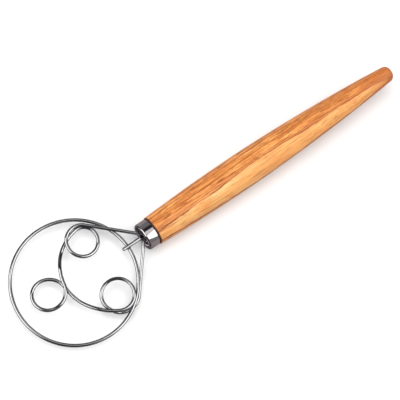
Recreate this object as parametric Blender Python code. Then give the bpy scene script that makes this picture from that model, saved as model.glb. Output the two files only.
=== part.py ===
"""Danish dough whisk: a turned wooden handle, a steel end cap and a flat head of bent steel wire.

Units are metres, +Z is up. The pieces are modelled on the handle's axis: X runs from the head to the
handle's butt, x = 0 is the handle's shoulder, and z = 0 is the plane in which the wires leave the cap.
An empty then lays the finished whisk on the ground at rest, on the belly of its handle.
"""
from math import asin, atan2, cos, degrees, pi, radians, sin, sqrt, tan

import bmesh
import bpy
from mathutils import Matrix, Vector

# ---- driving dimensions ----------------------------------------------------------------------------
WIRE_DIAMETER = 0.0025          # spring-steel wire, the same stock for ring, rod and loops
JOINT_GAP = 0.0003              # clearance between pieces that touch in the real tool
WIRE_PITCH = 0.00285            # spacing of the three wires where they enter the handle
WIRE_OFFSET = 0.0006            # the middle wire sits this far to +Y of the handle's axis
LEVEL = 0.0028                  # height step between two wires that cross

RING_RADIUS = 0.045             # centre line of the outer ring
RING_CENTRE = (-0.06686, 0.0011)
RING_RISE = 0.00115             # how much further out the ring stands where its ends meet at the rod
RING_RISE_ANGLE = 3.0           # where it stands out most, in degrees from +X
RING_RISE_REACH = (82.0, 48.0)  # how far round the ring the rise fades away, towards +Y and towards -Y

HANDLE_LENGTH = 0.2260          # shoulder to butt
SHOULDER_RADIUS = 0.0109
BELLY_RADIUS = 0.0131
BELLY_X = 0.0815                # the thickest place
BUTT_RADIUS = 0.0060
BUTT_ROUND = 0.0042             # radius of the rounded butt edge
BUTT_TAPER = 1.8                # exponent of the taper from belly to butt
SHOULDER_CHAMFER = 0.0005

CAP_LENGTH = 0.0086
CAP_SHOULDER_GAP = 0.0004       # visible joint between the cap and the wood's shoulder
CAP_BACK_ROUND = 0.0005         # rounded outer edge beside that joint
CAP_RADIUS = 0.0103
CAP_WALL = 0.00075
CAP_LIP_ROUND = 0.0012          # outer radius of the rolled front lip
CAP_MOUTH_RADIUS = 0.0081       # inside the lip
CAP_MOUTH_ROUND = 0.0005        # rounded edge between lip and mouth
CAP_RECESS = 0.0033             # depth of the dished front
CAP_FRONT_X = -CAP_SHOULDER_GAP - CAP_LENGTH
TENON_FRONT_X = CAP_FRONT_X + CAP_RECESS + CAP_WALL + JOINT_GAP

BORE_RADIUS = 0.0052            # hole in the handle that takes the wire ends
BORE_DEPTH = 0.032
TANG_DEPTH = 0.030              # how far the wires reach into the handle
ROD_END_X = -0.0256             # free end of the middle rod, past its weld on the ring

MOUTH_BEND = 0.0025             # bend radius where a wire turns out of the cap
ENTRY_BEND_X = -0.0087          # corner of the incoming wire's bend
EXIT_BEND_X = -0.0093           # corner of the outgoing wire's bend
ENTRY_HEADING = 136.8           # direction of the incoming leg, in degrees from +X
ENTRY_LEG = 0.0398              # corner to first loop

# The inner wire, bent flat on a former: radius, turn in degrees (left is positive), the level it ends
# at, and the stretch of the bend over which the level changes.
LOOP_WIRE_BENDS = (
    (0.0114, 308.0, -1.0, (0.36, 0.92)),    # first small loop, first pass
    (0.0095, 103.5, -1.0, (0.0, 1.0)),      # first small loop, under its own first pass
    (0.0349, 71.0, 0.0, (0.42, 0.80)),      # sweep to the far loop
    (0.0132, -95.2, -0.25, (0.60, 1.00)),   # far loop, entry
    (0.0110, -165.0, -1.0, (0.0, 0.85)),    # far loop, outer half
    (0.0134, -88.3, -1.0, (0.0, 1.0)),      # far loop, exit under its entry
    (0.0408, 61.9, 0.0, (0.28, 0.72)),      # sweep to the third loop
    (0.0116, 322.0, -1.0, (0.395, 0.865)),  # third small loop, first pass
)
LAST_BEND_RADIUS = 0.0143       # third small loop, second pass, on its way under the ring
LAST_BEND_RAMP = (0.0, 0.32)
LAST_BEND_LEVEL = -2.0
EXIT_LEG_RAMP = (0.05, 0.95)

WELD_RADIUS = 0.0024            # bead between rod and ring
WELD_HEIGHT = 0.0023

REST_TILT = 1.53                # degrees by which the head end hangs lower when the whisk balances at rest

HANDLE_SIDES = 32
HANDLE_RINGS = 19               # between shoulder and butt
ARC_STEP = 18.0                 # degrees per segment of a rounded edge
BORE_SIDES = 24
WIRE_BED_SIDES = 16
WELD_SIDES = 16
WELD_ROWS = 10
RING_SEGMENTS = 96
BEND_STEP = 9.0                 # degrees of turn per segment in a wire bent to BEND_STEP_RADIUS
BEND_STEP_RADIUS = 0.011        # a wider bend turns less per segment, a tighter one more
WIRE_BEVEL_RESOLUTION = 3       # ten-sided wire
ON_AXIS = 1e-7                  # a profile point nearer than this to the axis is a pole

WIRE_RADIUS = WIRE_DIAMETER / 2
ENTRY_Y = WIRE_OFFSET + WIRE_PITCH
ROD_Y = WIRE_OFFSET
EXIT_Y = WIRE_OFFSET - WIRE_PITCH

# name: colour, roughness, metallic
FINISHES = {
    "wood": ((0.62, 0.31, 0.11), 0.45, 0.0),
    "cap_steel": ((0.50, 0.50, 0.51), 0.16, 1.0),
    "ring_steel": ((0.62, 0.62, 0.63), 0.20, 1.0),
    "rod_steel": ((0.64, 0.64, 0.65), 0.20, 1.0),
    "loop_steel": ((0.60, 0.60, 0.61), 0.22, 1.0),
    "weld_steel": ((0.40, 0.39, 0.38), 0.40, 1.0),
    "glue": ((0.55, 0.45, 0.28), 0.50, 0.0),
}


# ---- scene helpers ---------------------------------------------------------------------------------
def clear_scene():
    for obj in list(bpy.data.objects):
        bpy.data.objects.remove(obj, do_unlink=True)


def make_material(name):
    colour, roughness, metallic = FINISHES[name]
    material = bpy.data.materials.new(name)
    material.use_nodes = True
    shader = material.node_tree.nodes["Principled BSDF"]
    shader.inputs["Base Color"].default_value = (*colour, 1.0)
    shader.inputs["Roughness"].default_value = roughness
    shader.inputs["Metallic"].default_value = metallic
    return material


def add_object(name, data, parent, finish):
    obj = bpy.data.objects.new(name, data)
    bpy.context.scene.collection.objects.link(obj)
    obj.parent = parent
    data.materials.append(make_material(finish))
    return obj


def add_cutter(name, mesh, parent):
    cutter = bpy.data.objects.new(name, mesh)
    bpy.context.scene.collection.objects.link(cutter)
    cutter.parent = parent
    cutter.hide_render = True
    cutter.display_type = "WIRE"
    return cutter


def cut(target, cutter):
    boolean = target.modifiers.new("cut " + cutter.name, "BOOLEAN")
    boolean.operation = "DIFFERENCE"
    boolean.solver = "EXACT"
    boolean.object = cutter


# ---- shape helpers ---------------------------------------------------------------------------------
def arc(centre, radius, start, end):
    """Points on an arc, angles in degrees from the first axis."""
    points = []
    steps = round(abs(end - start) / ARC_STEP)
    for i in range(steps + 1):
        angle = radians(start + (end - start) * i / steps)
        points.append((centre[0] + radius * cos(angle), centre[1] + radius * sin(angle)))
    return points


def turned_mesh(name, profile, sides, closed=False, smooth_angle=40.0):
    """Spin a profile of (x, r) points about the X axis. An open profile starts and ends on the axis."""
    mesh = bpy.data.meshes.new(name)
    bm = bmesh.new()
    rows = []
    for x, radius in profile:
        if radius < ON_AXIS:
            rows.append([bm.verts.new((x, 0.0, 0.0))])
            continue
        row = []
        for i in range(sides):
            angle = 2 * pi * (i + 0.5) / sides
            row.append(bm.verts.new((x, radius * cos(angle), radius * sin(angle))))
        rows.append(row)
    pairs = list(zip(rows, rows[1:]))
    if closed:
        pairs.append((rows[-1], rows[0]))
    for first, second in pairs:
        if len(first) == 1 and len(second) == 1:
            continue
        for i in range(sides):
            j = (i + 1) % sides
            if len(first) == 1:
                bm.faces.new((first[0], second[j], second[i]))
            elif len(second) == 1:
                bm.faces.new((first[i], first[j], second[0]))
            else:
                bm.faces.new((first[i], first[j], second[j], second[i]))
    bmesh.ops.recalc_face_normals(bm, faces=bm.faces)
    bm.to_mesh(mesh)
    bm.free()
    mesh.shade_smooth()
    mesh.set_sharp_from_angle(angle=radians(smooth_angle))
    return mesh


def rod_mesh(name, start_x, end_x, y, radius, sides):
    """A straight round bar along X at the given y."""
    mesh = turned_mesh(name, [(start_x, 0.0), (start_x, radius), (end_x, radius), (end_x, 0.0)], sides)
    mesh.transform(Matrix.Translation((0.0, y, 0.0)))
    return mesh


def wire_curve(name, points, cyclic=False):
    curve = bpy.data.curves.new(name, "CURVE")
    curve.dimensions = "3D"
    curve.bevel_depth = WIRE_RADIUS
    curve.bevel_resolution = WIRE_BEVEL_RESOLUTION
    curve.use_fill_caps = True
    spline = curve.splines.new("POLY")
    spline.points.add(len(points) - 1)
    for point, place in zip(spline.points, points):
        point.co = (*place, 1.0)
    spline.use_cyclic_u = cyclic
    spline.use_smooth = True
    return curve


# ---- handle ----------------------------------------------------------------------------------------
def handle_radius(x):
    """Outer radius of the wood between shoulder and butt."""
    if x < BELLY_X:
        return BELLY_RADIUS - (BELLY_RADIUS - SHOULDER_RADIUS) * ((BELLY_X - x) / BELLY_X) ** 2
    along = (x - BELLY_X) / (HANDLE_LENGTH - BELLY_X)
    return BELLY_RADIUS - (BELLY_RADIUS - BUTT_RADIUS) * along ** BUTT_TAPER


def handle_profile():
    """Half section of the handle, from the tenon's front to the middle of the butt."""
    tenon_radius = CAP_RADIUS - CAP_WALL - JOINT_GAP
    chamfer = SHOULDER_CHAMFER
    points = [(TENON_FRONT_X, 0.0), (TENON_FRONT_X, tenon_radius - chamfer)]
    points += [(TENON_FRONT_X + chamfer, tenon_radius), (0.0, tenon_radius)]
    points.append((0.0, SHOULDER_RADIUS - chamfer))
    last_ring_x = HANDLE_LENGTH - BUTT_ROUND
    for i in range(HANDLE_RINGS + 1):
        x = chamfer + (last_ring_x - chamfer) * i / HANDLE_RINGS
        points.append((x, handle_radius(x)))
    butt_centre = (last_ring_x, handle_radius(last_ring_x) - BUTT_ROUND)
    points += arc(butt_centre, BUTT_ROUND, 90.0, 0.0)[1:]
    points.append((HANDLE_LENGTH, 0.0))
    return points


def make_handle(root):
    body = turned_mesh("wooden_handle", handle_profile(), HANDLE_SIDES)
    handle = add_object("wooden_handle", body, root, "wood")
    bore = rod_mesh("bore_cutter", CAP_FRONT_X, BORE_DEPTH, WIRE_OFFSET, BORE_RADIUS, BORE_SIDES)
    cut(handle, add_cutter("bore_cutter", bore, root))
    return handle


# ---- end cap ---------------------------------------------------------------------------------------
def cap_profile():
    """Cross-section of the cap as one closed outline of (x, r), from its back edge round the lip."""
    back = -CAP_SHOULDER_GAP
    back_centre = (back - CAP_BACK_ROUND, CAP_RADIUS - CAP_BACK_ROUND)
    inner = CAP_RADIUS - CAP_WALL
    web_front = CAP_FRONT_X + CAP_RECESS
    web_back = web_front + CAP_WALL
    lip_centre = (CAP_FRONT_X + CAP_LIP_ROUND, CAP_RADIUS - CAP_LIP_ROUND)
    mouth_centre = (CAP_FRONT_X + CAP_MOUTH_ROUND, CAP_MOUTH_RADIUS + CAP_MOUTH_ROUND)
    outline = [(back, inner)]
    outline += arc(back_centre, CAP_BACK_ROUND, 0.0, 90.0)
    outline += arc(lip_centre, CAP_LIP_ROUND, 90.0, 180.0)
    outline += arc(mouth_centre, CAP_MOUTH_ROUND, 180.0, 270.0)
    outline += [(web_front, CAP_MOUTH_RADIUS), (web_front, 0.0), (web_back, 0.0), (web_back, inner)]
    return outline


def slot_mesh(name, half_length, radius, depth):
    """A round-ended bar along X whose outline lies in the YZ plane, for the slot in the cap."""
    mesh = bpy.data.meshes.new(name)
    bm = bmesh.new()
    outline = arc((half_length, 0.0), radius, -90.0, 90.0)
    outline += arc((-half_length, 0.0), radius, 90.0, 270.0)
    front = bm.faces.new([bm.verts.new((-depth / 2, y, z)) for y, z in outline])
    side = bmesh.ops.extrude_face_region(bm, geom=[front])["geom"]
    moved = [item for item in side if isinstance(item, bmesh.types.BMVert)]
    bmesh.ops.translate(bm, verts=moved, vec=(depth, 0.0, 0.0))
    bmesh.ops.recalc_face_normals(bm, faces=bm.faces)
    bm.to_mesh(mesh)
    bm.free()
    return mesh


def make_cap(root):
    shell = turned_mesh("end_cap", cap_profile(), HANDLE_SIDES, closed=True)
    cap = add_object("end_cap", shell, root, "cap_steel")
    slot = slot_mesh("cap_slot_cutter", WIRE_PITCH, WIRE_RADIUS + JOINT_GAP, 4 * CAP_WALL)
    cutter = add_cutter("cap_slot_cutter", slot, root)
    cutter.location = (CAP_FRONT_X + CAP_RECESS + CAP_WALL / 2, WIRE_OFFSET, 0.0)
    cut(cap, cutter)
    return cap


# ---- wires -----------------------------------------------------------------------------------------
class WirePath:
    """Centre line of a wire bent flat, one straight or bend after another, with its height."""

    def __init__(self, x, y, heading):
        self.place = Vector((x, y))
        self.heading = heading
        self.level = 0.0
        self.points = [(x, y, 0.0)]

    def height(self, end_level, ramp, along):
        """Height part-way along a piece whose level eases from the present one to end_level."""
        start, stop = ramp
        share = min(max((along - start) / (stop - start), 0.0), 1.0)
        eased = share * share * (3 - 2 * share)
        return LEVEL * (self.level + (end_level - self.level) * eased)

    def straight(self, length, end_level=0.0, ramp=(0.0, 1.0), steps=1):
        direction = Vector((cos(radians(self.heading)), sin(radians(self.heading))))
        for i in range(1, steps + 1):
            spot = self.place + direction * (length * i / steps)
            self.points.append((spot.x, spot.y, self.height(end_level, ramp, i / steps)))
        self.place += direction * length
        self.level = end_level

    def bend(self, radius, turn, end_level=0.0, ramp=(0.0, 1.0)):
        side = 1.0 if turn > 0 else -1.0
        centre = self.place + self.normal(side) * radius
        steps = max(2, round(abs(turn) / BEND_STEP * sqrt(radius / BEND_STEP_RADIUS)))
        start = self.heading
        for i in range(1, steps + 1):
            self.heading = start + turn * i / steps
            spot = centre - self.normal(side) * radius
            self.points.append((spot.x, spot.y, self.height(end_level, ramp, i / steps)))
        self.place = spot
        self.level = end_level

    def normal(self, side):
        """Unit vector at right angles to the heading, on its left for side 1."""
        return Vector((-sin(radians(self.heading)), cos(radians(self.heading)))) * side


def tangent_heading(centre, radius, target):
    """Heading in degrees of the line that leaves a left-hand bend at a tangent and meets the target."""
    reach = target - centre
    return degrees(atan2(reach.y, reach.x) + atan2(radius, sqrt(reach.length_squared - radius ** 2)))


def loop_wire_path():
    """Centre line of the inner wire, from its end in the handle round three loops and back."""
    turn_out = 180.0 - ENTRY_HEADING
    trim = MOUTH_BEND * tan(radians(turn_out / 2))
    path = WirePath(TANG_DEPTH, ENTRY_Y, 180.0)
    path.straight(TANG_DEPTH - (ENTRY_BEND_X + trim))
    path.bend(MOUTH_BEND, -turn_out)
    path.straight(ENTRY_LEG - trim, steps=2)
    for radius, turn, level, ramp in LOOP_WIRE_BENDS:
        path.bend(radius, turn, level, ramp)

    centre = path.place + path.normal(1.0) * LAST_BEND_RADIUS
    corner = Vector((EXIT_BEND_X, EXIT_Y))
    heading = tangent_heading(centre, LAST_BEND_RADIUS, corner)
    path.bend(LAST_BEND_RADIUS, (heading - path.heading) % 360.0, LAST_BEND_LEVEL, LAST_BEND_RAMP)
    turn_in = path.heading % 360.0
    trim = MOUTH_BEND * tan(radians(turn_in / 2))
    path.straight((corner - path.place).length - trim, 0.0, EXIT_LEG_RAMP, steps=10)
    path.bend(MOUTH_BEND, -turn_in)
    path.straight(TANG_DEPTH - path.place.x)
    return path.points


def make_loop_wire(root):
    return add_object("loop_wire", wire_curve("loop_wire", loop_wire_path()), root, "loop_steel")


def ring_radius(angle):
    """Radius of the ring's centre line, angle in degrees from +X between -180 and 180."""
    away = angle - RING_RISE_ANGLE
    reach = RING_RISE_REACH[0] if away > 0 else RING_RISE_REACH[1]
    if abs(away) > reach:
        return RING_RADIUS
    return RING_RADIUS + RING_RISE * (1 + cos(pi * away / reach)) / 2


def ring_points(segments):
    points = []
    for i in range(segments):
        angle = 360.0 * i / segments - 180.0
        radius = ring_radius(angle)
        points.append((radius * cos(radians(angle)), radius * sin(radians(angle)), 0.0))
    return points


def crossing_x():
    """Where the ring's centre line passes under the rod's."""
    across = ROD_Y - RING_CENTRE[1]
    radius = ring_radius(degrees(asin(across / RING_RADIUS)))
    return RING_CENTRE[0] + sqrt(radius ** 2 - across ** 2)


def make_ring(root):
    hoop = wire_curve("outer_ring", ring_points(RING_SEGMENTS), cyclic=True)
    ring = add_object("outer_ring", hoop, root, "ring_steel")
    ring.location = (*RING_CENTRE, -LEVEL)
    return ring


def make_rod(root):
    points = [(TANG_DEPTH, ROD_Y, 0.0), (ROD_END_X, ROD_Y, 0.0)]
    return add_object("centre_rod", wire_curve("centre_rod", points), root, "rod_steel")


# ---- joints between the pieces ---------------------------------------------------------------------
def make_weld(root):
    """The bead that joins rod and ring, a small button with both wires' beds cut into it."""
    mesh = bpy.data.meshes.new("ring_weld")
    bm = bmesh.new()
    bmesh.ops.create_uvsphere(bm, u_segments=WELD_SIDES, v_segments=WELD_ROWS, radius=WELD_RADIUS)
    bmesh.ops.scale(bm, verts=bm.verts, vec=(1.0, 1.0, WELD_HEIGHT / WELD_RADIUS))
    bm.to_mesh(mesh)
    bm.free()
    mesh.shade_smooth()
    weld = add_object("ring_weld", mesh, root, "weld_steel")
    weld.location = (crossing_x(), ROD_Y, -LEVEL / 2)

    bed_radius = WIRE_RADIUS + JOINT_GAP
    rod_bed = rod_mesh("rod_bed_cutter", ROD_END_X, CAP_FRONT_X, ROD_Y, bed_radius, WIRE_BED_SIDES)
    cut(weld, add_cutter("rod_bed_cutter", rod_bed, root))
    reach = 2 * WELD_RADIUS
    ring_bed = rod_mesh("ring_bed_cutter", -reach, reach, 0.0, bed_radius, WIRE_BED_SIDES)
    ring_bed.transform(Matrix.Rotation(pi / 2, 4, "Z"))
    bed = add_cutter("ring_bed_cutter", ring_bed, root)
    bed.location = (crossing_x(), ROD_Y, -LEVEL)
    cut(weld, bed)
    return weld


def make_glue(root):
    """Adhesive that fills the bore round the three wire ends."""
    back_x = BORE_DEPTH - JOINT_GAP
    radius = BORE_RADIUS - JOINT_GAP
    body = rod_mesh("bore_glue", TENON_FRONT_X, back_x, WIRE_OFFSET, radius, BORE_SIDES)
    glue = add_object("bore_glue", body, root, "glue")
    bed_end_x = TANG_DEPTH + JOINT_GAP
    bed_radius = WIRE_RADIUS + JOINT_GAP
    for number, y in enumerate((ENTRY_Y, ROD_Y, EXIT_Y)):
        name = "wire_bed_cutter_%d" % number
        bed = rod_mesh(name, CAP_FRONT_X, bed_end_x, y, bed_radius, WIRE_BED_SIDES)
        cut(glue, add_cutter(name, bed, root))
    return glue


# ---- assembly --------------------------------------------------------------------------------------
def world_box(objects):
    """Lowest and highest corner of the finished objects in world space."""
    bpy.context.view_layer.update()
    depsgraph = bpy.context.evaluated_depsgraph_get()
    corners = []
    for obj in objects:
        evaluated = obj.evaluated_get(depsgraph)
        mesh = evaluated.to_mesh()
        corners += [evaluated.matrix_world @ vertex.co for vertex in mesh.vertices]
        evaluated.to_mesh_clear()
    low = Vector([min(c[axis] for c in corners) for axis in range(3)])
    high = Vector([max(c[axis] for c in corners) for axis in range(3)])
    return low, high


def lay_down(root, pieces):
    """Tilt the whisk onto its belly and put the middle of its underside at the world's origin."""
    root.rotation_euler = (0.0, -radians(REST_TILT), 0.0)
    low, high = world_box(pieces)
    root.location -= Vector(((low.x + high.x) / 2, (low.y + high.y) / 2, low.z))
    bpy.context.view_layer.update()


def main():
    clear_scene()
    root = bpy.data.objects.new("whisk_at_rest", None)
    bpy.context.scene.collection.objects.link(root)
    makers = (make_handle, make_cap, make_ring, make_rod, make_loop_wire, make_weld, make_glue)
    pieces = [make(root) for make in makers]
    lay_down(root, pieces)


main()
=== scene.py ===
"""Looks of the dough whisk: fine meshes for the wood, the cap and the wires, and their materials.

Every piece is modelled on the handle's axis, as in the CAD model: X runs from the head to the butt,
x = 0 is the handle's shoulder and z = 0 is the plane in which the wires leave the cap. add_piece()
then gives its mesh the tilt at which the whisk rests. Lengths are metres, and angles degrees.
"""
from math import asin, atan2, cos, degrees, pi, radians, sin, sqrt, tan
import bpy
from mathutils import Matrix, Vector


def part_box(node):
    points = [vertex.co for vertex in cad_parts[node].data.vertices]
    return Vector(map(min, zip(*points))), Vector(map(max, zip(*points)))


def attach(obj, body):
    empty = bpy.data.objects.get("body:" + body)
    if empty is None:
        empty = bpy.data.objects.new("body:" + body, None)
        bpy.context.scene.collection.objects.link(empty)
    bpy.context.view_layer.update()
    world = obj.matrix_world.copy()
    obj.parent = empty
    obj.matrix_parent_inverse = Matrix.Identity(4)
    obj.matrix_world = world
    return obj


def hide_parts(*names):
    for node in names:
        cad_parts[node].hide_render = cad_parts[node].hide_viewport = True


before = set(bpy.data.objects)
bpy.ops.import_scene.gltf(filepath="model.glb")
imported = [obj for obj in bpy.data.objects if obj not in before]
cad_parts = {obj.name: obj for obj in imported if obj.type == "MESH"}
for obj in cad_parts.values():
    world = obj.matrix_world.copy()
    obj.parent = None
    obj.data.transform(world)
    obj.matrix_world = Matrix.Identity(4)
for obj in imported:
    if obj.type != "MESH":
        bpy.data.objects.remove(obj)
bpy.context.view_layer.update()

from types import SimpleNamespace

import bmesh
import bpy
from mathutils import Euler, Matrix, Vector

# ---- dimensions, as in the CAD model ---------------------------------------------------------------
WIRE_RADIUS = 0.00125
WIRE_PITCH = 0.00285            # between the wires where they leave the cap
WIRE_OFFSET = 0.0006            # of the rod from the handle's axis
LEVEL = 0.0028                  # height from one layer of crossing wires to the next
JOINT_GAP = 0.0003
ENTRY_Y = WIRE_OFFSET + WIRE_PITCH      # where the inner wire leaves the handle
ROD_Y = WIRE_OFFSET
EXIT_Y = WIRE_OFFSET - WIRE_PITCH       # and where it comes back

RING_RADIUS = 0.045
RING_CENTRE = (-0.06686, 0.0011)
RING_RISE = 0.00115             # how far the ring stands out of round next to the rod
RING_RISE_ANGLE = 3.0
RING_RISE_REACH = (82.0, 48.0)

HANDLE_LENGTH = 0.2260
SHOULDER_RADIUS = 0.0109
BELLY_RADIUS = 0.0131
BELLY_X = 0.0815
BUTT_RADIUS = 0.0060
BUTT_ROUND = 0.0042
BUTT_TAPER = 1.8
SHOULDER_ROUND = 0.0007

CAP_LENGTH = 0.0086
CAP_SHOULDER_GAP = 0.0004
CAP_BACK_ROUND = 0.0006
CAP_RADIUS = 0.0103
CAP_WALL = 0.00075
CAP_LIP_ROUND = 0.0012
CAP_MOUTH_RADIUS = 0.0081
CAP_MOUTH_ROUND = 0.0005
CAP_RECESS = 0.0033             # depth of the dish in the cap's front
CAP_WEB_FILLET = 0.0006
CAP_FRONT_X = -CAP_SHOULDER_GAP - CAP_LENGTH
TENON_FRONT_X = CAP_FRONT_X + CAP_RECESS + CAP_WALL + JOINT_GAP

BORE_RADIUS = 0.0052
BORE_DEPTH = 0.032
TANG_DEPTH = 0.030
ROD_END_X = -0.0256

MOUTH_BEND = 0.0025
ENTRY_BEND_X = -0.0087
EXIT_BEND_X = -0.0093
ENTRY_HEADING = 136.8
ENTRY_LEG = 0.0398
LOOP_WIRE_BENDS = (             # radius, turn in degrees, end level, stretch over which the level eases
    (0.0114, 308.0, -1.0, (0.36, 0.92)),
    (0.0095, 103.5, -1.0, (0.0, 1.0)),
    (0.0349, 71.0, 0.0, (0.42, 0.80)),
    (0.0132, -95.2, -0.25, (0.60, 1.00)),
    (0.0110, -165.0, -1.0, (0.0, 0.85)),
    (0.0134, -88.3, -1.0, (0.0, 1.0)),
    (0.0408, 61.9, 0.0, (0.28, 0.72)),
    (0.0116, 322.0, -1.0, (0.395, 0.865)),
)
LAST_BEND_RADIUS = 0.0143
LAST_BEND_RAMP = (0.0, 0.32)
LAST_BEND_LEVEL = -2.0
EXIT_LEG_RAMP = (0.05, 0.95)

WELD_REACH = (0.0021, 0.0017, 0.0020)   # half size of the bead along X, Y and Z
WELD_WAISTING = 0.12            # how much narrower the bead is at its top and bottom
REST_TILT = 1.53                # by which the head end hangs lower

# ---- fineness of the meshes ------------------------------------------------------------------------
TURNED_SIDES = 160
HANDLE_RINGS = 180
ARC_STEP = 7.5                  # degrees per segment of a rounded edge
WIRE_SIDES = 28
WIRE_STEP = 0.0007              # length of a wire's segments
WIRE_END_ROUND = 0.00055
BORE_SIDES = 48
WELD_SEGMENTS = (64, 40)
ON_AXIS = 1e-7                  # a smaller radius is a point on the axis
SHARP_ANGLE = 35.0              # edges bent more than this stay crisp
WIRE_SHARP_ANGLE = 50.0

# ---- grain of the wood, in millimetres -------------------------------------------------------------
GRAIN_RING_WIDTH = 4.5
GRAIN_DIRECTION = (0.0, -0.683, 0.731)  # in which the growth rings follow each other
GRAIN_EDGE_DEPTH = 11.4         # how far the sawn ring's edge lies from the handle's axis
GRAIN_BOW = 0.00014             # how strongly the rings bow along the handle
GRAIN_BOW_X = 45.0
GRAIN_WAVE_HEIGHT = 0.32
GRAIN_WAVE_LENGTH = 100.0
GRAIN_WAVE_START = -2 * pi * 0.48
GRAIN_WANDER = 1.1
GRAIN_QUIVER = 0.45
PALE_EDGE_BLEND = 0.12

# Features per millimetre along and across the grain, in noise and in cells.
WANDER_SCALE = (0.05, 0.16, 0.16)
QUIVER_SCALE = (0.22, 0.5, 0.5)
FIBRE_SCALE = (0.07, 1.5, 1.5)
STREAK_SCALE = (0.025, 0.55, 0.55)
VEIN_SCALE = (0.022, 0.62, 0.62)
CLOUD_SCALE = (0.045, 0.16, 0.16)
BREAK_SCALE = (0.07, 0.20, 0.20)

# Pores: length and width of a cell, share of the cells with a pore in it, shift of the pattern.
LONG_PORES = (6.5, 1.15, 0.34, 0.0)
SHORT_PORES = (2.6, 0.85, 0.30, 5.3)

# ---- colours as they look on a screen, 0 to 255 ----------------------------------------------------
HEARTWOOD = ((228, 150, 80), (255, 182, 104))   # darker and lighter clouds
SAPWOOD_NEAR_CAP = (238, 180, 112)
SAPWOOD_MIDDLE = (248, 202, 130)
SAPWOOD_NEAR_BUTT = (248, 180, 102)
SAPWOOD_DEEP = (246, 174, 98)
SAPWOOD_CLOUD = (242, 166, 92)
STREAK_BROWN = (196, 108, 38)
VEIN_BROWN = (136, 62, 8)
LATE_WOOD = (206, 122, 60)
RING_LINE_BROWN = (140, 66, 10)
FIBRE_BROWN = (158, 80, 20)
PORE_BROWN = (112, 50, 16)
BUTT_BROWN = (188, 104, 50)
TIP_BROWN = (190, 110, 56)
# painted shade of the groove between the wood's shoulder and the cap
SHOULDER_PAINTED_SHADE = (58, 32, 20)
WIRE_STEEL = (214, 214, 216)
WIRE_LINES = (120, 120, 122)
WIRE_HEATED = (132, 120, 108)
CAP_STEEL = (224, 216, 220)
CAP_LINES = (120, 118, 122)
WELD_STRAW = (112, 106, 100)
WELD_BLUE = (84, 86, 92)
RESIN = ((150, 122, 78), (192, 168, 122))

# ---- stage: colours here are linear values ---------------------------------------------------------
CAMERA_PLACE = (-0.323099, -0.128432, 0.919628)
CAMERA_TURN = (17.1949, -10.7972, -36.5905)     # about X, Y and Z
CAMERA_LENS = 120.0
CAMERA_SHIFT = (-0.00125, 0.00125)              # half a pixel of a 400-pixel frame

BACKDROP = (0.93, 0.93, 0.93, 1.0)
ROOM_LIGHT = (0.26, 0.26, 0.26, 1.0)
WALL_COLOUR = (0.045, 0.043, 0.046, 1.0)
WALL_PATCHES = (                # azimuth, zenith angle, inner and outer radius in degrees, brightness
    (80.0, 76.0, 22.0, 32.0, 0.19),
    (-80.0, 80.0, 22.0, 32.0, 0.22),
    (58.0, 36.0, 7.0, 13.0, 0.02),
    (18.0, 12.0, 12.0, 17.0, 0.85),
    (22.0, 72.0, 14.0, 22.0, 0.50),
)
SOFTBOX_TARGET = Vector((-0.06, 0.0, 0.01))
SOFTBOX_DISTANCE = 1.0
SOFTBOXES = (                   # name, azimuth, zenith angle, width and height, power
    ("left_softbox", 158.0, 58.0, (1.15, 1.15), 7.6),
    ("right_softbox", 310.0, 42.0, (0.75, 0.95), 4.4),
)
FILL_PLACE = (-0.1, 0.35, 1.5)
FILL_SIZE = (1.6, 1.6)
FILL_POWER = 21.0

FLOOR_REACH = 1.3               # from its middle to its edges
FLOOR_WHITES = ((0.86, 0.86, 0.86, 1.0), (0.90, 0.90, 0.90, 1.0))
# painted reflection that glossy rays see on the floor: nearly black at the head, and a warm painted bounce
# from the wood at the handle
FLOOR_PAINTED_REFLECTION = ((0.03, 0.03, 0.032, 1.0), (0.23, 0.205, 0.215, 1.0))    # at the head and at the handle
FLOOR_PAINTED_REFLECTION_STEP = (-0.085, -0.055)            # X between which the one turns into the other


# ---- placing ---------------------------------------------------------------------------------------
def rest_matrix():
    """From the handle's own axes to the shared frame: the rest tilt, then the shift that places the rod."""
    turn = Matrix.Rotation(-radians(REST_TILT), 4, "Y")
    low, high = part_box("centre_rod")
    rod_middle = Vector(((ROD_END_X + TANG_DEPTH) / 2, ROD_Y, 0.0))
    return Matrix.Translation((low + high) / 2 - turn @ rod_middle) @ turn


REST = rest_matrix()


def add_piece(name, mesh, material, slot, *nodes):
    """Puts a mesh made on the handle's axes at rest on the root body, in place of CAD nodes."""
    mesh.transform(REST)
    mesh.materials.append(material)
    piece = bpy.data.objects.new(name, mesh)
    bpy.context.scene.collection.objects.link(piece)
    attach(piece, "root")
    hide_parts(*nodes)
    return piece


def cut_mesh(mesh, *cutters):
    """The mesh with every cutter mesh taken out of it."""
    target = bpy.data.objects.new("cut_target", mesh)
    bpy.context.scene.collection.objects.link(target)
    helpers = [target]
    for cutter_mesh in cutters:
        cutter = bpy.data.objects.new("cutter", cutter_mesh)
        bpy.context.scene.collection.objects.link(cutter)
        helpers.append(cutter)
        boolean = target.modifiers.new("cut", "BOOLEAN")
        boolean.operation = "DIFFERENCE"
        boolean.solver = "EXACT"
        boolean.object = cutter
    depsgraph = bpy.context.evaluated_depsgraph_get()
    result = bpy.data.meshes.new_from_object(target.evaluated_get(depsgraph), depsgraph=depsgraph)
    for helper in helpers:
        bpy.data.objects.remove(helper)
    return result


# ---- turned shapes ---------------------------------------------------------------------------------
def arc(centre, radius, start, end):
    """Points on an arc, angles in degrees from the first axis."""
    points = []
    steps = max(3, round(abs(end - start) / ARC_STEP))
    for i in range(steps + 1):
        angle = radians(start + (end - start) * i / steps)
        points.append((centre[0] + radius * cos(angle), centre[1] + radius * sin(angle)))
    return points


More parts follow.
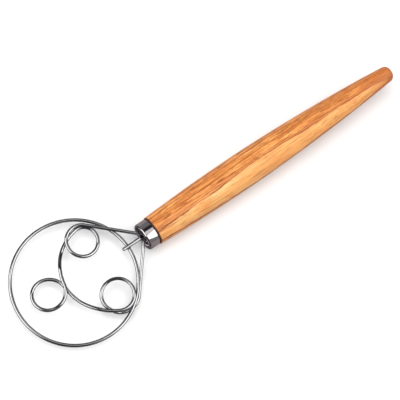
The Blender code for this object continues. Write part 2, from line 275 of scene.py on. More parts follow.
def join_rows(bm, first, second):
    """Faces between two rows of vertices that each go once round, where a row of one is a point."""
    count = max(len(first), len(second))
    if count == 1:
        return
    for i in range(count):
        j = (i + 1) % count
        if len(first) == 1:
            bm.faces.new((first[0], second[j], second[i]))
        elif len(second) == 1:
            bm.faces.new((first[i], first[j], second[0]))
        else:
            bm.faces.new((first[i], first[j], second[j], second[i]))


def turned_mesh(name, profile, sides=TURNED_SIDES, closed=False):
    """Spin a profile of (x, r) points about the X axis. An open profile starts and ends on the axis."""
    mesh = bpy.data.meshes.new(name)
    bm = bmesh.new()
    rows = []
    for x, radius in profile:
        if radius < ON_AXIS:
            rows.append([bm.verts.new((x, 0.0, 0.0))])
            continue
        row = []
        for i in range(sides):
            angle = 2 * pi * (i + 0.5) / sides
            row.append(bm.verts.new((x, radius * cos(angle), radius * sin(angle))))
        rows.append(row)
    for first, second in zip(rows, rows[1:]):
        join_rows(bm, first, second)
    if closed:
        join_rows(bm, rows[-1], rows[0])
    bmesh.ops.recalc_face_normals(bm, faces=bm.faces)
    bm.to_mesh(mesh)
    bm.free()
    mesh.shade_smooth()
    mesh.set_sharp_from_angle(angle=radians(SHARP_ANGLE))
    return mesh


def bar_mesh(name, start_x, end_x, y, radius, sides=BORE_SIDES):
    """A straight round bar along X at the given y."""
    mesh = turned_mesh(name, [(start_x, 0.0), (start_x, radius), (end_x, radius), (end_x, 0.0)], sides)
    mesh.transform(Matrix.Translation((0.0, y, 0.0)))
    return mesh


# ---- handle ----------------------------------------------------------------------------------------
def handle_radius(x):
    """Outer radius of the wood between shoulder and butt."""
    if x < BELLY_X:
        return BELLY_RADIUS - (BELLY_RADIUS - SHOULDER_RADIUS) * ((BELLY_X - x) / BELLY_X) ** 2
    along = (x - BELLY_X) / (HANDLE_LENGTH - BELLY_X)
    return BELLY_RADIUS - (BELLY_RADIUS - BUTT_RADIUS) * along ** BUTT_TAPER


def handle_profile():
    """Half section of the handle, from the tenon's front to the middle of the butt."""
    tenon_radius = CAP_RADIUS - CAP_WALL - JOINT_GAP
    round_off = SHOULDER_ROUND
    points = [(TENON_FRONT_X, 0.0)]
    points += arc((TENON_FRONT_X + round_off, tenon_radius - round_off), round_off, 180.0, 90.0)
    points.append((0.0, tenon_radius))
    points += arc((round_off, handle_radius(round_off) - round_off), round_off, 180.0, 90.0)
    last_ring_x = HANDLE_LENGTH - BUTT_ROUND
    for i in range(1, HANDLE_RINGS + 1):
        x = round_off + (last_ring_x - round_off) * i / HANDLE_RINGS
        points.append((x, handle_radius(x)))
    butt_centre = (last_ring_x, handle_radius(last_ring_x) - BUTT_ROUND)
    points += arc(butt_centre, BUTT_ROUND, 90.0, 0.0)[1:]
    points.append((HANDLE_LENGTH, 0.0))
    return points


def make_handle():
    bore = bar_mesh("bore", CAP_FRONT_X, BORE_DEPTH, WIRE_OFFSET, BORE_RADIUS)
    body = cut_mesh(turned_mesh("turned_handle", handle_profile()), bore)
    return add_piece("turned_handle", body, wood_material(), "wood", "wooden_handle")


# ---- end cap ---------------------------------------------------------------------------------------
def cap_profile():
    """Cross-section of the cap as one closed outline of (x, r), from its back edge round the lip."""
    back = -CAP_SHOULDER_GAP
    edge = CAP_BACK_ROUND
    inner = CAP_RADIUS - CAP_WALL
    web_front = CAP_FRONT_X + CAP_RECESS
    web_back = web_front + CAP_WALL
    lip_centre = (CAP_FRONT_X + CAP_LIP_ROUND, CAP_RADIUS - CAP_LIP_ROUND)
    mouth_centre = (CAP_FRONT_X + CAP_MOUTH_ROUND, CAP_MOUTH_RADIUS + CAP_MOUTH_ROUND)
    fillet = CAP_WEB_FILLET
    outline = [(back, inner)]
    outline += arc((back - edge, CAP_RADIUS - edge), edge, 0.0, 90.0)
    outline += arc(lip_centre, CAP_LIP_ROUND, 90.0, 180.0)
    outline += arc(mouth_centre, CAP_MOUTH_ROUND, 180.0, 270.0)
    outline += arc((web_front - fillet, CAP_MOUTH_RADIUS - fillet), fillet, 90.0, 0.0)
    outline += [(web_front, 0.0), (web_back, 0.0), (web_back, inner)]
    return outline


def slot_mesh(half_length, radius, depth, place):
    """A bar along X with a round-ended section in the YZ plane, which cuts the slot in the cap."""
    mesh = bpy.data.meshes.new("slot")
    bm = bmesh.new()
    outline = arc((half_length, 0.0), radius, -90.0, 90.0)
    outline += arc((-half_length, 0.0), radius, 90.0, 270.0)
    front = bm.faces.new([bm.verts.new((-depth / 2, y, z)) for y, z in outline])
    side = bmesh.ops.extrude_face_region(bm, geom=[front])["geom"]
    moved = [item for item in side if isinstance(item, bmesh.types.BMVert)]
    bmesh.ops.translate(bm, verts=moved, vec=(depth, 0.0, 0.0))
    bmesh.ops.recalc_face_normals(bm, faces=bm.faces)
    bmesh.ops.translate(bm, verts=bm.verts, vec=place)
    bm.to_mesh(mesh)
    bm.free()
    return mesh


def make_cap():
    place = (CAP_FRONT_X + CAP_RECESS + CAP_WALL / 2, WIRE_OFFSET, 0.0)
    slot = slot_mesh(WIRE_PITCH, WIRE_RADIUS + JOINT_GAP, 4 * CAP_WALL, place)
    shell = cut_mesh(turned_mesh("pressed_cap", cap_profile(), closed=True), slot)
    shell.shade_smooth()
    shell.set_sharp_from_angle(angle=radians(SHARP_ANGLE))
    return add_piece("pressed_cap", shell, cap_material(), "cap_steel", "end_cap")


# ---- wires -----------------------------------------------------------------------------------------
class WirePath:
    """Centre line of a wire bent flat, one straight or bend after another, with its height."""

    def __init__(self, x, y, heading):
        self.place = Vector((x, y))
        self.heading = heading
        self.level = 0.0
        self.points = [Vector((x, y, 0.0))]

    def height(self, end_level, ramp, along):
        """Height part-way along a piece whose level eases from the present one to end_level."""
        start, stop = ramp
        share = min(max((along - start) / (stop - start), 0.0), 1.0)
        eased = share * share * (3 - 2 * share)
        return LEVEL * (self.level + (end_level - self.level) * eased)

    def straight(self, length, end_level=0.0, ramp=(0.0, 1.0)):
        direction = Vector((cos(radians(self.heading)), sin(radians(self.heading))))
        steps = max(1, round(length / WIRE_STEP))
        for i in range(1, steps + 1):
            spot = self.place + direction * (length * i / steps)
            self.points.append(Vector((spot.x, spot.y, self.height(end_level, ramp, i / steps))))
        self.place += direction * length
        self.level = end_level

    def bend(self, radius, turn, end_level=0.0, ramp=(0.0, 1.0)):
        side = 1.0 if turn > 0 else -1.0
        centre = self.place + self.normal(side) * radius
        steps = max(6, round(abs(radians(turn)) * radius / WIRE_STEP))
        start = self.heading
        for i in range(1, steps + 1):
            self.heading = start + turn * i / steps
            spot = centre - self.normal(side) * radius
            self.points.append(Vector((spot.x, spot.y, self.height(end_level, ramp, i / steps))))
        self.place = spot
        self.level = end_level

    def normal(self, side):
        """Unit vector at right angles to the heading, on its left for side 1."""
        return Vector((-sin(radians(self.heading)), cos(radians(self.heading)))) * side


def tangent_heading(centre, radius, target):
    """Heading in degrees of the line that leaves a left-hand bend at a tangent and meets the target."""
    reach = target - centre
    return degrees(atan2(reach.y, reach.x) + atan2(radius, sqrt(reach.length_squared - radius ** 2)))


def loop_wire_points():
    """Centre line of the inner wire, from its end in the handle round three loops and back."""
    turn_out = 180.0 - ENTRY_HEADING
    trim = MOUTH_BEND * tan(radians(turn_out / 2))
    path = WirePath(TANG_DEPTH, ENTRY_Y, 180.0)
    path.straight(TANG_DEPTH - (ENTRY_BEND_X + trim))
    path.bend(MOUTH_BEND, -turn_out)
    path.straight(ENTRY_LEG - trim)
    for radius, turn, level, ramp in LOOP_WIRE_BENDS:
        path.bend(radius, turn, level, ramp)

    centre = path.place + path.normal(1.0) * LAST_BEND_RADIUS
    corner = Vector((EXIT_BEND_X, EXIT_Y))
    heading = tangent_heading(centre, LAST_BEND_RADIUS, corner)
    path.bend(LAST_BEND_RADIUS, (heading - path.heading) % 360.0, LAST_BEND_LEVEL, LAST_BEND_RAMP)
    turn_in = path.heading % 360.0
    trim = MOUTH_BEND * tan(radians(turn_in / 2))
    path.straight((corner - path.place).length - trim, 0.0, EXIT_LEG_RAMP)
    path.bend(MOUTH_BEND, -turn_in)
    path.straight(TANG_DEPTH - path.place.x)
    return path.points


def ring_radius(angle):
    """Radius of the ring's centre line, angle in degrees from +X between -180 and 180."""
    away = angle - RING_RISE_ANGLE
    reach = RING_RISE_REACH[0] if away > 0 else RING_RISE_REACH[1]
    if abs(away) > reach:
        return RING_RADIUS
    return RING_RADIUS + RING_RISE * (1 + cos(pi * away / reach)) / 2


def ring_points():
    steps = round(2 * pi * RING_RADIUS / WIRE_STEP)
    points = []
    for i in range(steps):
        angle = 360.0 * i / steps - 180.0
        x = RING_CENTRE[0] + ring_radius(angle) * cos(radians(angle))
        y = RING_CENTRE[1] + ring_radius(angle) * sin(radians(angle))
        points.append(Vector((x, y, -LEVEL)))
    return points


def crossing_place():
    """The weld's middle, where the rod lies on the ring: halfway between the two centre lines."""
    across = ROD_Y - RING_CENTRE[1]
    radius = ring_radius(degrees(asin(across / RING_RADIUS)))
    x = RING_CENTRE[0] + sqrt(radius ** 2 - across ** 2)
    return Vector((x, ROD_Y, -LEVEL / 2))


def wire_stations(points, closed):
    """Each point of a wire's centre line as (centre, direction, radius, length along)."""
    count = len(points)
    stations = []
    length = 0.0
    for i, point in enumerate(points):
        before = points[i - 1] if closed or i > 0 else point
        after = points[(i + 1) % count] if closed or i < count - 1 else point
        if i > 0:
            length += (point - points[i - 1]).length
        stations.append((point, (after - before).normalized(), WIRE_RADIUS, length))
    return stations


def with_rounded_ends(stations):
    """Tapers the two ends of a wire to a small rounded edge, as a tumbled cut end has."""
    first, last = stations[0], stations[-1]
    head, tail = [], []
    for angle in (0.0, 22.5, 45.0, 67.5, 90.0):
        depth = WIRE_END_ROUND * (1 - cos(radians(angle)))
        radius = WIRE_RADIUS - WIRE_END_ROUND * (1 - sin(radians(angle)))
        head.append((first[0] + first[1] * depth, first[1], radius, first[3] + depth))
        tail.append((last[0] - last[1] * depth, last[1], radius, last[3] - depth))
    between = []
    for station in stations[1:-1]:
        if first[3] + WIRE_END_ROUND < station[3] < last[3] - WIRE_END_ROUND:
            between.append(station)
    return head + between + tail[::-1]


def wire_row(bm, place, station):
    """The vertices once round a wire. The layer place holds where each lies on the straight wire: the length
    along it, and its place in the cross-section."""
    centre, direction, radius, along = station
    side = direction.cross(Vector((0.0, 0.0, 1.0))).normalized()
    up = side.cross(direction)
    row = []
    for i in range(WIRE_SIDES):
        angle = 2 * pi * i / WIRE_SIDES
        vertex = bm.verts.new(centre + (side * cos(angle) + up * sin(angle)) * radius)
        vertex[place] = Vector((along, WIRE_RADIUS * cos(angle), WIRE_RADIUS * sin(angle)))
        row.append(vertex)
    return row


def wire_mesh(name, points, closed=False):
    """A round wire along the points."""
    stations = wire_stations(points, closed)
    if not closed:
        stations = with_rounded_ends(stations)
    bm = bmesh.new()
    place = bm.verts.layers.float_vector.new("wire_place")
    rows = [wire_row(bm, place, station) for station in stations]
    for first, second in zip(rows, rows[1:]):
        join_rows(bm, first, second)
    if closed:
        join_rows(bm, rows[-1], rows[0])
    else:
        bm.faces.new(rows[0])
        bm.faces.new(rows[-1])
    bmesh.ops.recalc_face_normals(bm, faces=bm.faces)
    mesh = bpy.data.meshes.new(name)
    bm.to_mesh(mesh)
    bm.free()
    mesh.shade_smooth()
    mesh.set_sharp_from_angle(angle=radians(WIRE_SHARP_ANGLE))
    return mesh


def rod_points():
    steps = round((TANG_DEPTH - ROD_END_X) / WIRE_STEP)
    start = Vector((TANG_DEPTH, ROD_Y, 0.0))
    end = Vector((ROD_END_X, ROD_Y, 0.0))
    return [start.lerp(end, i / steps) for i in range(steps + 1)]


def make_wires():
    steel = wire_material()
    ring = wire_mesh("ring_wire", ring_points(), closed=True)
    add_piece("ring_wire", ring, steel, "wire_steel", "outer_ring")
    rod = wire_mesh("rod_wire", rod_points())
    add_piece("rod_wire", rod, steel, "wire_steel", "centre_rod")
    loops = wire_mesh("bent_loop_wire", loop_wire_points())
    add_piece("bent_loop_wire", loops, steel, "wire_steel", "loop_wire")


# ---- weld ------------------------------------------------------------------------------------------
def make_weld():
    """The bead of weld metal that fills the corners between rod and ring."""
    mesh = bpy.data.meshes.new("weld_bead")
    bm = bmesh.new()
    bmesh.ops.create_uvsphere(bm, u_segments=WELD_SEGMENTS[0], v_segments=WELD_SEGMENTS[1], radius=1.0)
    for vertex in bm.verts:
        x, y, z = vertex.co
        around = atan2(y, x)
        ripple = 1.0 + 0.05 * sin(5 * around + 0.6) + 0.03 * sin(9 * around + 3 * z)
        swell = ripple * (1.0 - WELD_WAISTING * abs(z))
        vertex.co = (x * WELD_REACH[0] * swell, y * WELD_REACH[1] * swell, z * WELD_REACH[2])
    bmesh.ops.translate(bm, verts=bm.verts, vec=crossing_place())
    bm.to_mesh(mesh)
    bm.free()
    mesh.shade_smooth()
    return add_piece("weld_bead", mesh, weld_material(), "weld_steel", "ring_weld")


# ---- material helpers ------------------------------------------------------------------------------
class Nodes:
    """Short names for building one material's node tree."""

    def __init__(self, name):
        self.material = bpy.data.materials.new(name)
        self.material.use_nodes = True
        self.tree = self.material.node_tree
        self.shader = self.tree.nodes["Principled BSDF"]

    def add(self, kind, **settings):
        node = self.tree.nodes.new("ShaderNode" + kind)
        for key, value in settings.items():
            setattr(node, key, value)
        return node

    def feed(self, socket, value):
        """Links an output to a socket, or sets the socket's own value."""
        if isinstance(value, bpy.types.NodeSocket):
            self.tree.links.new(value, socket)
        else:
            socket.default_value = value

    def math(self, operation, a, b=0.0, c=0.0):
        node = self.add("Math", operation=operation)
        for socket, value in zip(node.inputs, (a, b, c)):
            self.feed(socket, value)
        return node.outputs[0]

    def scaled(self, vector, scale):
        """A vector multiplied along each axis."""
        node = self.add("VectorMath", operation="MULTIPLY")
        self.feed(node.inputs[0], vector)
        self.feed(node.inputs[1], scale)
        return node.outputs[0]

    def dot(self, vector, direction):
        node = self.add("VectorMath", operation="DOT_PRODUCT")
        self.feed(node.inputs[0], vector)
        self.feed(node.inputs[1], direction)
        return node.outputs["Value"]

    def noise(self, vector, scale=1.0, detail=2.0, roughness=0.5):
        node = self.add("TexNoise")
        self.feed(node.inputs["Vector"], vector)
        self.feed(node.inputs["Scale"], scale)
        self.feed(node.inputs["Detail"], detail)
        self.feed(node.inputs["Roughness"], roughness)
        return node.outputs["Fac"]

    def span(self, value, low, high, to_low=0.0, to_high=1.0, smooth=False):
        """Maps low..high to to_low..to_high, clamped."""
        node = self.add("MapRange", clamp=True)
        node.interpolation_type = "SMOOTHSTEP" if smooth else "LINEAR"
        for socket, number in zip(node.inputs, (value, low, high, to_low, to_high)):
            self.feed(socket, number)
        return node.outputs[0]

    def mix(self, factor, a, b, blend="MIX"):
        """Mixes two colours."""
        node = self.add("Mix", data_type="RGBA", blend_type=blend)
        self.feed(node.inputs[0], factor)
        self.feed(node.inputs[6], a)
        self.feed(node.inputs[7], b)
        return node.outputs[2]

    def bump(self, height, distance):
        node = self.add("Bump")
        self.feed(node.inputs["Strength"], 1.0)
        self.feed(node.inputs["Distance"], distance)
        self.feed(node.inputs["Height"], height)
        return node.outputs[0]

    def set(self, **values):
        """Sets or links the shader's sockets, whose names are written with _ for a space."""
        for key, value in values.items():
            self.feed(self.shader.inputs[key.replace("_", " ")], value)


def srgb(colour):
    """A colour given as it looks on a screen, 0 to 255, in the linear values that shaders take."""
    linear = []
    for part in colour:
        part /= 255
        linear.append(part / 12.92 if part <= 0.04045 else ((part + 0.055) / 1.055) ** 2.4)
    return (*linear, 1.0)


def handle_place(nodes):
    """Object coordinates turned back to the handle's own axes, in millimetres."""
    coordinates = nodes.add("TexCoord").outputs["Object"]
    back = REST.inverted()
    turned = nodes.add("Mapping", vector_type="POINT")
    nodes.feed(turned.inputs["Vector"], coordinates)
    turned.inputs["Location"].default_value = back.to_translation() * 1000
    turned.inputs["Rotation"].default_value = back.to_euler()
    turned.inputs["Scale"].default_value = (1000.0, 1000.0, 1000.0)
    return turned.outputs[0]


# ---- wood ------------------------------------------------------------------------------------------
def growth_depth(n, place, along):
    """Millimetres past the growth ring's edge that surfaces along the handle. The rings lean 47 degrees
    from level, bow slightly along the length and wander a little."""
    bow = n.math("POWER", n.math("ABSOLUTE", n.math("SUBTRACT", along, GRAIN_BOW_X)), 2.0)
    wave = n.math("COSINE", n.math("MULTIPLY_ADD", along, 2 * pi / GRAIN_WAVE_LENGTH, GRAIN_WAVE_START))
    depth = n.math("ADD", n.dot(place, GRAIN_DIRECTION), GRAIN_WAVE_HEIGHT - GRAIN_EDGE_DEPTH)
    depth = n.math("MULTIPLY_ADD", bow, GRAIN_BOW, depth)
    depth = n.math("MULTIPLY_ADD", wave, -GRAIN_WAVE_HEIGHT, depth)
    wander = n.noise(n.scaled(place, WANDER_SCALE), detail=1.0)
    quiver = n.noise(n.scaled(place, QUIVER_SCALE), detail=2.0)
    depth = n.math("MULTIPLY_ADD", n.math("SUBTRACT", wander, 0.5), GRAIN_WANDER, depth)
    return n.math("MULTIPLY_ADD", n.math("SUBTRACT", quiver, 0.5), GRAIN_QUIVER, depth)


def peak(n, value, centre, half_width):
    """1 where the value is at the centre, falling to 0 at the half width on both sides."""
    away = n.math("ABSOLUTE", n.math("SUBTRACT", value, centre))
    return n.span(away, 0.3 * half_width, half_width, 1.0, 0.0)


def dashes(n, place, length, width, share, shift):
    """Scattered marks along the grain: one to a cell, in this share of the cells."""
    cells = n.add("TexVoronoi", feature="F1")
    shifted = n.add("VectorMath", operation="ADD")
    n.feed(shifted.inputs[0], n.scaled(place, (1 / length, 1 / width, 1 / width)))
    n.feed(shifted.inputs[1], (shift, shift, shift))
    n.feed(cells.inputs["Vector"], shifted.outputs[0])
    n.feed(cells.inputs["Scale"], 1.0)
    chosen = n.math("LESS_THAN", n.dot(cells.outputs["Color"], (1.0, 0.0, 0.0)), share)
    mark = n.span(cells.outputs["Distance"], 0.18, 0.42, 1.0, 0.0)
    return n.math("MULTIPLY", mark, chosen)


def wood_grain(n):
    """What the wood's layers are made from: places in the handle, places in the growth ring, and noises."""
    place = handle_place(n)
    along = n.dot(place, (1.0, 0.0, 0.0))
    depth = growth_depth(n, place, along)
    pale = n.span(depth, -PALE_EDGE_BLEND, PALE_EDGE_BLEND)
    return SimpleNamespace(
        place=place,
        along=along,
        depth=depth,
        phase=n.math("FRACT", n.math("DIVIDE", depth, GRAIN_RING_WIDTH)),
        pale=pale,
        contrast=n.span(pale, 0.0, 1.0, 1.0, 0.45),
        fibres=n.noise(n.scaled(place, FIBRE_SCALE), detail=4.0, roughness=0.7),
        streaks=n.noise(n.scaled(place, STREAK_SCALE), detail=3.0, roughness=0.6),
        clouds=n.noise(n.scaled(place, CLOUD_SCALE), detail=2.0),
        breaks=n.noise(n.scaled(place, BREAK_SCALE), detail=2.0, roughness=0.6),
        veins=n.noise(n.scaled(place, VEIN_SCALE), detail=1.0),
    )


def wood_ground(n, grain):
    """Orange heartwood on one side of the ring's edge, and paler sapwood on the other."""
    orange = n.mix(n.span(grain.clouds, 0.36, 0.64), srgb(HEARTWOOD[0]), srgb(HEARTWOOD[1]))
    cream = n.mix(n.span(grain.along, 10.0, 45.0), srgb(SAPWOOD_NEAR_CAP), srgb(SAPWOOD_MIDDLE))
    cream = n.mix(n.span(grain.along, 70.0, 105.0), cream, srgb(SAPWOOD_NEAR_BUTT))
    cream = n.mix(n.span(grain.depth, 0.3, 2.4), cream, srgb(SAPWOOD_DEEP))
    cream = n.mix(n.span(grain.clouds, 0.42, 0.66), cream, srgb(SAPWOOD_CLOUD))
    return n.mix(grain.pale, orange, cream)


def wood_lines(n, grain, colour):
    """Streaks and veins, the dark late wood with its two lines in each ring, and fine fibres."""
    streak = n.math("MULTIPLY", n.span(grain.streaks, 0.36, 0.60, 0.60, 0.0), grain.contrast)
    colour = n.mix(streak, colour, srgb(STREAK_BROWN))
    vein = n.math("MULTIPLY", peak(n, grain.veins, 0.5, 0.045), n.span(grain.breaks, 0.36, 0.60, 0.20, 0.95))
    colour = n.mix(n.math("MULTIPLY", vein, grain.contrast), colour, srgb(VEIN_BROWN))

    rise = n.span(grain.phase, 0.70, 0.78, 0.0, 0.42)
    fall = n.span(grain.phase, 0.97, 1.0, 1.0, 0.0)
    colour = n.mix(n.math("MULTIPLY", rise, fall), colour, srgb(LATE_WOOD))
    edge_line = peak(n, grain.phase, 0.935, 0.085)
    edge_line = n.math("MULTIPLY", edge_line, n.span(grain.breaks, 0.38, 0.50, 0.35, 0.90))
    twin_line = peak(n, grain.phase, 0.755, 0.060)
    twin_line = n.math("MULTIPLY", twin_line, n.span(grain.breaks, 0.44, 0.58, 0.85, 0.25))
    colour = n.mix(n.math("MAXIMUM", edge_line, twin_line), colour, srgb(RING_LINE_BROWN))

    fibre = n.math("MULTIPLY", n.span(grain.fibres, 0.38, 0.52, 0.66, 0.0), grain.contrast)
    return n.mix(fibre, colour, srgb(FIBRE_BROWN))


def wood_pores(n, grain):
    """Open pores along the grain, and how dark each shows: most in early wood, and toward the butt."""
    long_pores = dashes(n, grain.place, *LONG_PORES)
    short_pores = dashes(n, grain.place, *SHORT_PORES)
    pores = n.math("MAXIMUM", long_pores, n.math("MULTIPLY", short_pores, 0.8))
    early_wood = n.span(grain.phase, 0.0, 0.55, 1.0, 0.55)
    toward_butt = n.span(grain.along, 60.0, 190.0, 0.70, 1.0)
    strength = n.math("MULTIPLY", early_wood, toward_butt)
    strength = n.math("MULTIPLY", strength, n.span(grain.pale, 0.0, 1.0, 1.0, 0.30))
    return pores, n.math("MULTIPLY", pores, strength)


def wood_stains_and_shoulder_shade(n, grain, colour):
    """The wood darkens toward the butt; painted shade makes the shoulder's end grain and rounded edge nearly
    black, in the groove between the wood and the cap.
    """
    butt = n.span(grain.along, 118.0, 200.0, 0.0, 0.50)
    butt = n.math("MULTIPLY", butt, n.span(grain.pale, 0.0, 1.0, 1.0, 0.12))
    colour = n.mix(butt, colour, srgb(BUTT_BROWN))
    tip = n.span(grain.along, 196.0, 216.0, 0.0, 0.45)
    colour = n.mix(tip, colour, srgb(TIP_BROWN))
    # Painted shade: the shoulder's rounded edge and end face, in the groove at the cap, are coloured nearly
    # black.
    shoulder = n.span(grain.along, 0.25, 1.1, 0.92, 0.0, smooth=True)
    return n.mix(shoulder, colour, srgb(SHOULDER_PAINTED_SHADE))


def wood_material():
    """Ring-porous hardwood sawn so that one growth ring's edge runs the length of the handle."""
    n = Nodes("oiled_hardwood")
    grain = wood_grain(n)
    colour = wood_lines(n, grain, wood_ground(n, grain))
    pores, dark_pores = wood_pores(n, grain)
    colour = n.mix(dark_pores, colour, srgb(PORE_BROWN))
    relief = n.math("MULTIPLY_ADD", pores, -0.7, n.math("MULTIPLY", grain.fibres, 0.5))
    n.set(
        Base_Color=wood_stains_and_shoulder_shade(n, grain, colour),
        Roughness=n.span(grain.fibres, 0.3, 0.7, 0.40, 0.54),
        Normal=n.bump(relief, 0.00006),
        Coat_Weight=0.10,
        Coat_Roughness=0.30,
    )
    return n.material


# ---- steel and resin -------------------------------------------------------------------------------
def smudged_steel(name, low, high):
    """Starts a steel material whose roughness runs from low to high in soft smudges."""
    n = Nodes(name)
    smudges = n.noise(n.add("TexCoord").outputs["Object"], scale=160.0, detail=3.0, roughness=0.6)
    n.set(Metallic=1.0, Roughness=n.span(smudges, 0.3, 0.7, low, high))
    return n, smudges


def smudged_colour(n, smudges, colour):
    """The steel's colour, a seventh darker under the smudges."""
    clean = srgb(colour)
    dull = tuple(0.86 * part for part in clean[:3]) + (1.0,)
    return n.mix(n.span(smudges, 0.3, 0.7), clean, dull)


def wire_material():
    """Bright drawn wire: fine lines along it, and a straw tint near the weld."""
    n, smudges = smudged_steel("drawn_steel_wire", 0.05, 0.10)
    colour = smudged_colour(n, smudges, WIRE_STEEL)
    place = n.add("Attribute", attribute_type="GEOMETRY", attribute_name="wire_place").outputs["Vector"]
    lines = n.noise(n.scaled(place, (40.0, 9000.0, 9000.0)), detail=3.0, roughness=0.7)
    weld_distance = n.add("VectorMath", operation="DISTANCE")
    n.feed(weld_distance.inputs[0], n.add("TexCoord").outputs["Object"])
    n.feed(weld_distance.inputs[1], REST @ crossing_place())
    heat = n.span(weld_distance.outputs["Value"], 0.0020, 0.0036, 0.30, 0.0, smooth=True)
    colour = n.mix(n.span(lines, 0.35, 0.7, 0.0, 0.18), colour, srgb(WIRE_LINES))
    colour = n.mix(heat, colour, srgb(WIRE_HEATED))
    n.set(Base_Color=colour, Normal=n.bump(lines, 0.000003))
    return n.material


def cap_material():
    """Polished cap with fine turning lines round it."""
    n, smudges = smudged_steel("polished_cap_steel", 0.05, 0.09)
    rings = n.noise(n.scaled(handle_place(n), (14.0, 0.02, 0.02)), detail=3.0, roughness=0.7)
    colour = smudged_colour(n, smudges, CAP_STEEL)
    colour = n.mix(n.span(rings, 0.4, 0.7, 0.0, 0.12), colour, srgb(CAP_LINES))
    n.set(Base_Color=colour, Normal=n.bump(rings, 0.000003))
    return n.material


def weld_material():
    """Weld metal with a heat tint that runs from straw to blue-grey."""
    n, _ = smudged_steel("weld_steel", 0.28, 0.45)
    tint = n.noise(n.add("TexCoord").outputs["Object"], scale=700.0, detail=3.0)
    colour = n.mix(n.span(tint, 0.40, 0.62), srgb(WELD_STRAW), srgb(WELD_BLUE))
    n.set(Base_Color=colour, Normal=n.bump(tint, 0.00004))
    return n.material


def glue_material():
    """Cured resin in the bore."""
    n = Nodes("bore_resin")
    cloud = n.noise(n.add("TexCoord").outputs["Object"], scale=300.0, detail=3.0)
    n.set(
        Base_Color=n.mix(cloud, srgb(RESIN[0]), srgb(RESIN[1])),
        Roughness=n.span(cloud, 0.3, 0.7, 0.35, 0.6),
        Normal=n.bump(cloud, 0.00008),
    )
    return n.material


# ---- stage -----------------------------------------------------------------------------------------
def floor_material():
    """White card. The steel sees a painted reflection on it, darker than the camera sees, most of all at the
    head, so that the wires stand out against the white; toward the handle the painted reflection is lighter
    and warmer, a painted bounce of light from the wood."""
    n = Nodes("white_card")
    path = n.add("LightPath")
    place = n.add("TexCoord").outputs["Object"]
    white = n.mix(n.noise(place, scale=40.0, detail=2.0), *FLOOR_WHITES)
    toward_handle = n.span(n.dot(place, (1.0, 0.0, 0.0)), *FLOOR_PAINTED_REFLECTION_STEP)
    # painted reflection: the colour that glossy rays see in place of the white
    painted_reflection = n.mix(toward_handle, *FLOOR_PAINTED_REFLECTION)
    n.set(Base_Color=n.mix(path.outputs["Is Glossy Ray"], white, painted_reflection), Roughness=0.9)
    n.set(Specular_IOR_Level=0.0)
    return n.material


def make_floor():
    mesh = bpy.data.meshes.new("floor")
    bm = bmesh.new()
    bmesh.ops.create_grid(bm, x_segments=8, y_segments=8, size=FLOOR_REACH)
    bm.to_mesh(mesh)
    bm.free()
    mesh.materials.append(floor_material())
    floor = bpy.data.objects.new("floor", mesh)
    bpy.context.scene.collection.objects.link(floor)


def make_camera():
    data = bpy.data.cameras.new("camera")
    data.lens = CAMERA_LENS
    data.shift_x, data.shift_y = CAMERA_SHIFT
    camera = bpy.data.objects.new("camera", data)
    camera.location = CAMERA_PLACE
    camera.rotation_euler = Euler([radians(a) for a in CAMERA_TURN])
    bpy.context.scene.collection.objects.link(camera)
    bpy.context.scene.camera = camera


def make_softbox(name, place, target, size, power, in_reflections=True):
    data = bpy.data.lights.new(name, "AREA")
    data.shape = "RECTANGLE"
    data.size, data.size_y = size
    data.energy = power
    light = bpy.data.objects.new(name, data)
    light.location = place
    light.rotation_euler = (Vector(target) - Vector(place)).to_track_quat("-Z", "Y").to_euler()
    light.visible_camera = False
    light.visible_glossy = in_reflections
    bpy.context.scene.collection.objects.link(light)


def wall_mix(tree, share, first, second):
    """Mixes two colours in the world's nodes. A colour is an output or the linear values themselves."""
    node = tree.nodes.new("ShaderNodeMix")
    node.data_type = "RGBA"
    tree.links.new(share, node.inputs[0])
    for socket, colour in ((node.inputs[6], first), (node.inputs[7], second)):
        if isinstance(colour, bpy.types.NodeSocket):
            tree.links.new(colour, socket)
        else:
            socket.default_value = colour
    return node.outputs[2]


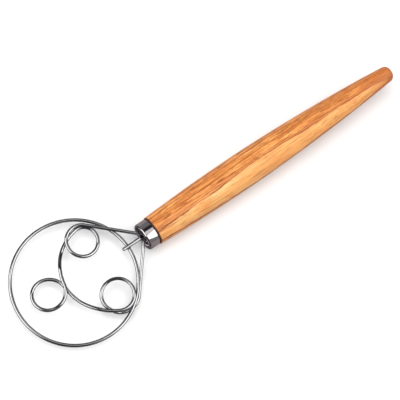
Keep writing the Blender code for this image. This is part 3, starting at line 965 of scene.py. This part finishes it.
def patch_share(tree, direction, azimuth, zenith, inner, outer):
    """1 within the inner radius of a patch on the walls, falling to 0 at its outer radius."""
    nearness = tree.nodes.new("ShaderNodeVectorMath")
    nearness.operation = "DOT_PRODUCT"
    nearness.inputs[1].default_value = toward(azimuth, zenith, 1.0)
    tree.links.new(direction, nearness.inputs[0])
    share = tree.nodes.new("ShaderNodeMapRange")
    share.inputs["From Min"].default_value = cos(radians(outer))
    share.inputs["From Max"].default_value = cos(radians(inner))
    tree.links.new(nearness.outputs["Value"], share.inputs["Value"])
    return share.outputs[0]


def make_world():
    """A pale backdrop for the camera, even room light, and dark walls with patches for reflections."""
    world = bpy.data.worlds.new("studio")
    bpy.context.scene.world = world
    world.use_nodes = True
    tree = world.node_tree
    direction = tree.nodes.new("ShaderNodeTexCoord").outputs["Generated"]
    walls = WALL_COLOUR
    for azimuth, zenith, inner, outer, level in WALL_PATCHES:
        share = patch_share(tree, direction, azimuth, zenith, inner, outer)
        walls = wall_mix(tree, share, walls, (level, level, level, 1.0))
    path = tree.nodes.new("ShaderNodeLightPath")
    light = wall_mix(tree, path.outputs["Is Glossy Ray"], ROOM_LIGHT, walls)
    seen = wall_mix(tree, path.outputs["Is Camera Ray"], light, BACKDROP)
    tree.links.new(seen, tree.nodes["Background"].inputs["Color"])


def toward(azimuth, zenith, distance):
    """A place at this distance, azimuth from +X and angle from the zenith, both in degrees."""
    flat = sin(radians(zenith)) * distance
    height = cos(radians(zenith)) * distance
    return Vector((flat * cos(radians(azimuth)), flat * sin(radians(azimuth)), height))


def make_stage():
    make_floor()
    make_world()
    for name, azimuth, zenith, size, power in SOFTBOXES:
        place = SOFTBOX_TARGET + toward(azimuth, zenith, SOFTBOX_DISTANCE)
        make_softbox(name, place, SOFTBOX_TARGET, size, power)
    make_softbox("overhead_fill", FILL_PLACE, (0.0, 0.0, 0.0), FILL_SIZE, FILL_POWER, in_reflections=False)
    bpy.context.scene.view_settings.view_transform = "Standard"
    make_camera()


def dress_glue():
    """The resin keeps its CAD shape and gets a finished material."""
    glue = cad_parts["bore_glue"]
    glue.data.materials.clear()
    glue.data.materials.append(glue_material())


def main():
    make_handle()
    make_cap()
    make_wires()
    make_weld()
    dress_glue()
    make_stage()


main()
